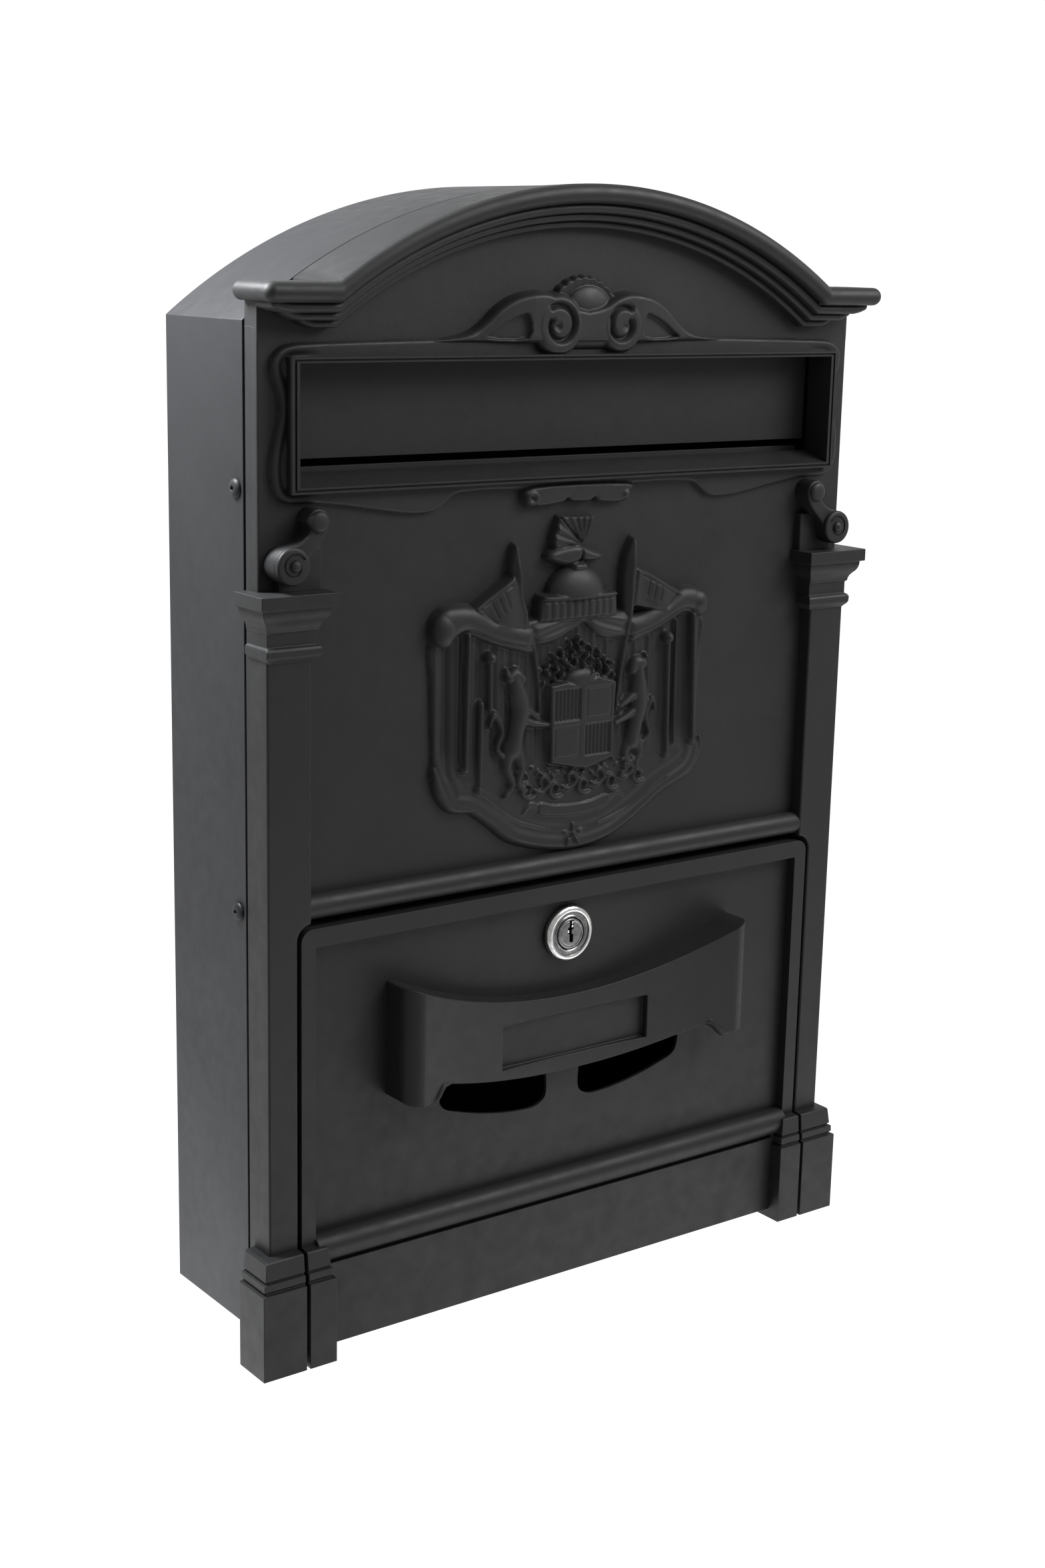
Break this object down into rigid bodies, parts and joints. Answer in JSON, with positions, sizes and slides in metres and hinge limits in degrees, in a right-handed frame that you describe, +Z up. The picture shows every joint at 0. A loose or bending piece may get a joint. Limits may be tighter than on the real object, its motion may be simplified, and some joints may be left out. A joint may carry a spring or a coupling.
{
  "type": "wall letterbox",
  "caption": "Wall letterbox: arched cast front with pilasters, flapped letter slot, relief crest and a locking drop-down collection door, on a folded sheet body.",
  "frame": {"origin": "middle of the back panel's outer face, 205 mm above the plinth's foot, in the plane of the wall", "axes": "+Z up, +X to the right of a person facing the box, the front faces -Y and the wall is the plane y = 0"},
  "size_m": [0.2724, 0.0778, 0.4113],
  "materials": {
    "cast_front": "matt dark charcoal powder coat with a fine cast texture",
    "body_sheet": "smooth satin powder coat on folded sheet",
    "flap_sheet": "satin powder coat",
    "bright_steel": "plated, fine turned marks",
    "zinc_steel": "bright zinc plate"
  },
  "bodies": {
    "housing": {"front_casting": "cast_front", "body_shell": "body_sheet", "back_panel": "body_sheet", "bottom_panel": "body_sheet", "side_rivet_upper_left": "body_sheet", "side_rivet_upper_right": "body_sheet", "side_rivet_lower_left": "body_sheet", "side_rivet_lower_right": "body_sheet", "flap_hinge_pin": "zinc_steel", "flap_pin_clip_left": "zinc_steel", "flap_pin_clip_right": "zinc_steel", "flap_bracket_left": "zinc_steel", "flap_bracket_right": "zinc_steel", "bracket_screw_inner_left": "zinc_steel", "bracket_screw_inner_right": "zinc_steel", "bracket_screw_outer_left": "zinc_steel", "bracket_screw_outer_right": "zinc_steel", "door_hinge_pin_left": "zinc_steel", "door_hinge_pin_right": "zinc_steel"},
    "flap": {"slot_flap": "flap_sheet"},
    "door": {"collection_door": "cast_front", "lock_barrel": "bright_steel", "lock_washer": "zinc_steel", "lock_nut": "zinc_steel"},
    "lock_core": {"lock_plug": "bright_steel", "lock_cam": "zinc_steel", "cam_screw": "zinc_steel"}
  },
  "joints": [
    {"name": "flap_swing", "type": "hinge", "parent": "housing", "child": "flap", "pos_m": [0, -0.0536, 0.1525], "axis": [1, 0, 0], "range_deg": [0, 75]},
    {"name": "door_swing", "type": "hinge", "parent": "housing", "child": "door", "pos_m": [0, -0.066, -0.2016], "axis": [1, 0, 0], "range_deg": [0, 90]},
    {"name": "lock_turn", "type": "hinge", "parent": "door", "child": "lock_core", "pos_m": [0, -0.053, -0.0652], "axis": [0, -1, 0], "range_deg": [0, 90]}
  ]
}
